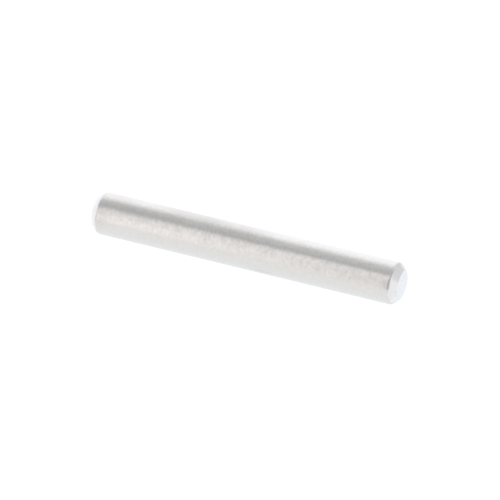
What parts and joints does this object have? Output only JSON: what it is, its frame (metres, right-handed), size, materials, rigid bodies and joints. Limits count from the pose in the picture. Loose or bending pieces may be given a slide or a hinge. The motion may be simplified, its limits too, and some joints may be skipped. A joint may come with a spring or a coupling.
{
  "type": "shear pin",
  "caption": "Plain straight shear pin: a solid ground steel cylinder with a 45 degree chamfer and a soft shoulder round both ends.",
  "frame": {"origin": "centre of the bottom end face, on the pin's axis", "axes": "+Z along the pin's axis, from the end face it stands on to the other one; X and Y are any square pair across it"},
  "size_m": [0.005, 0.005, 0.038],
  "materials": {
    "ground_steel": "centreless ground and lightly tumbled, bright satin"
  },
  "bodies": {
    "root": {"shear_pin": "ground_steel"}
  },
  "joints": []
}
